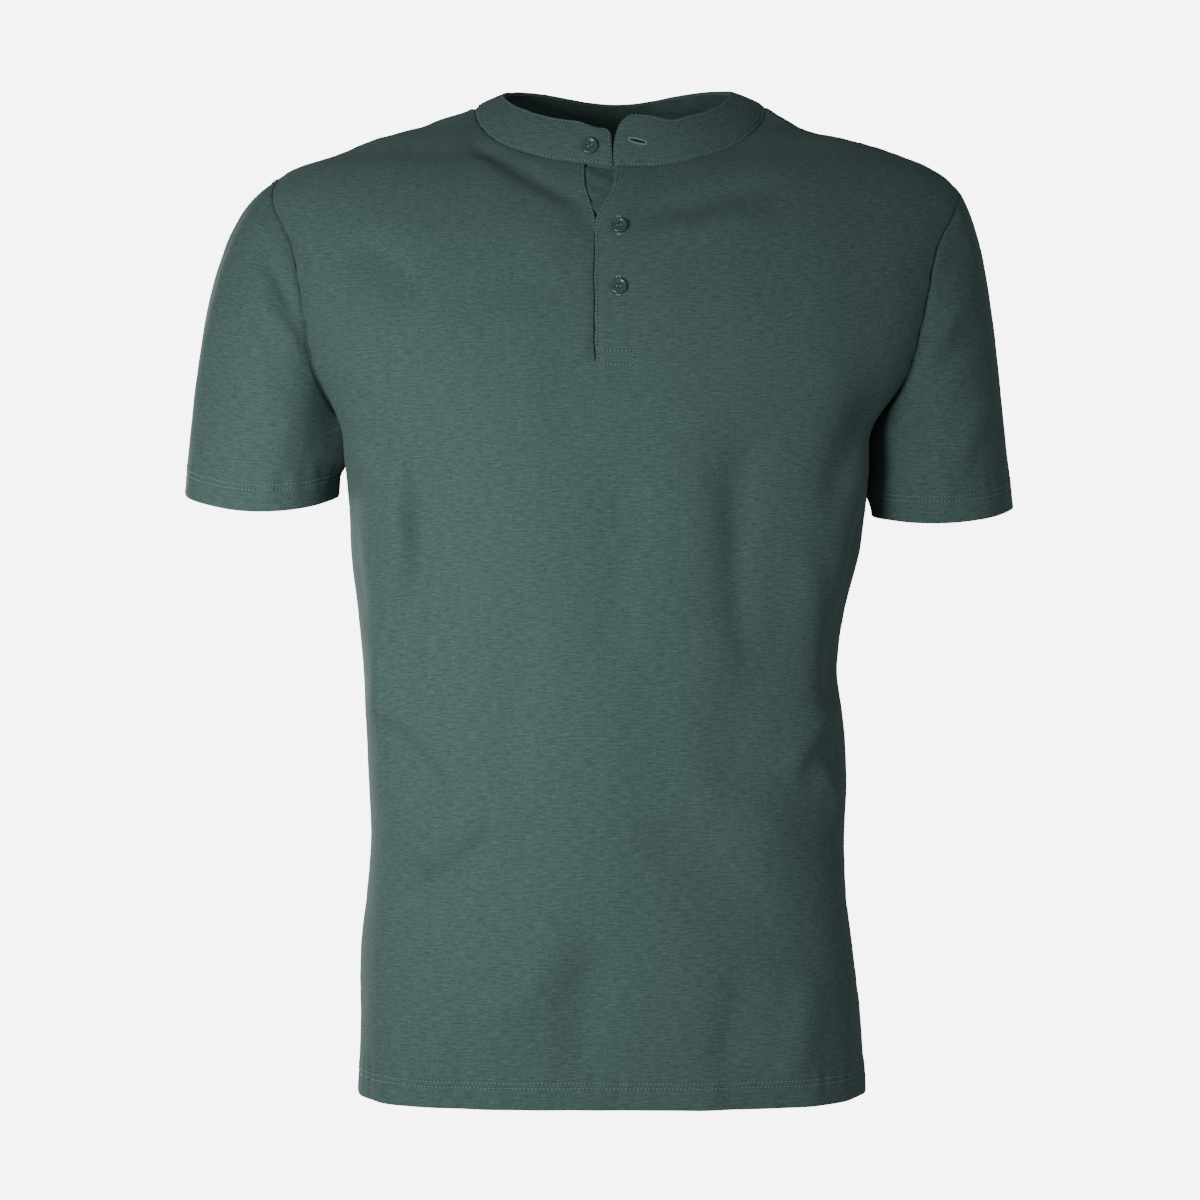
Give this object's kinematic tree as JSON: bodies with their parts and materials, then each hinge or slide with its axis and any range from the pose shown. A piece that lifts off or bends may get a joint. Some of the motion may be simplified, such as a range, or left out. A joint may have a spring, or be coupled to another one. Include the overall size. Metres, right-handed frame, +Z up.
{
  "type": "henley shirt",
  "caption": "Short-sleeved henley in smooth knit, filled out as if worn: band collar, partly open buttoned placket, hemmed sleeves and body.",
  "frame": {"origin": "inside the neck opening, level with the highest points of the shoulder seams and midway between them, where the wearer's neck and shoulders hold the shirt", "axes": "+Z up; -Y is the wearer's front, with the placket; +X is the wearer's left, on the right of a front view"},
  "size_m": [0.5933, 0.2322, 0.7224],
  "materials": {
    "cloth": "smooth matt cotton interlock knit, dark blue-grey green",
    "button": "polished, tone in tone with the cloth"
  },
  "bodies": {
    "root": {"front": "cloth", "back": "cloth", "sleeve_right": "cloth", "sleeve_left": "cloth", "neckband": "cloth", "placket_under": "cloth", "button_1": "button", "button_2": "button", "button_3": "button"}
  },
  "joints": []
}
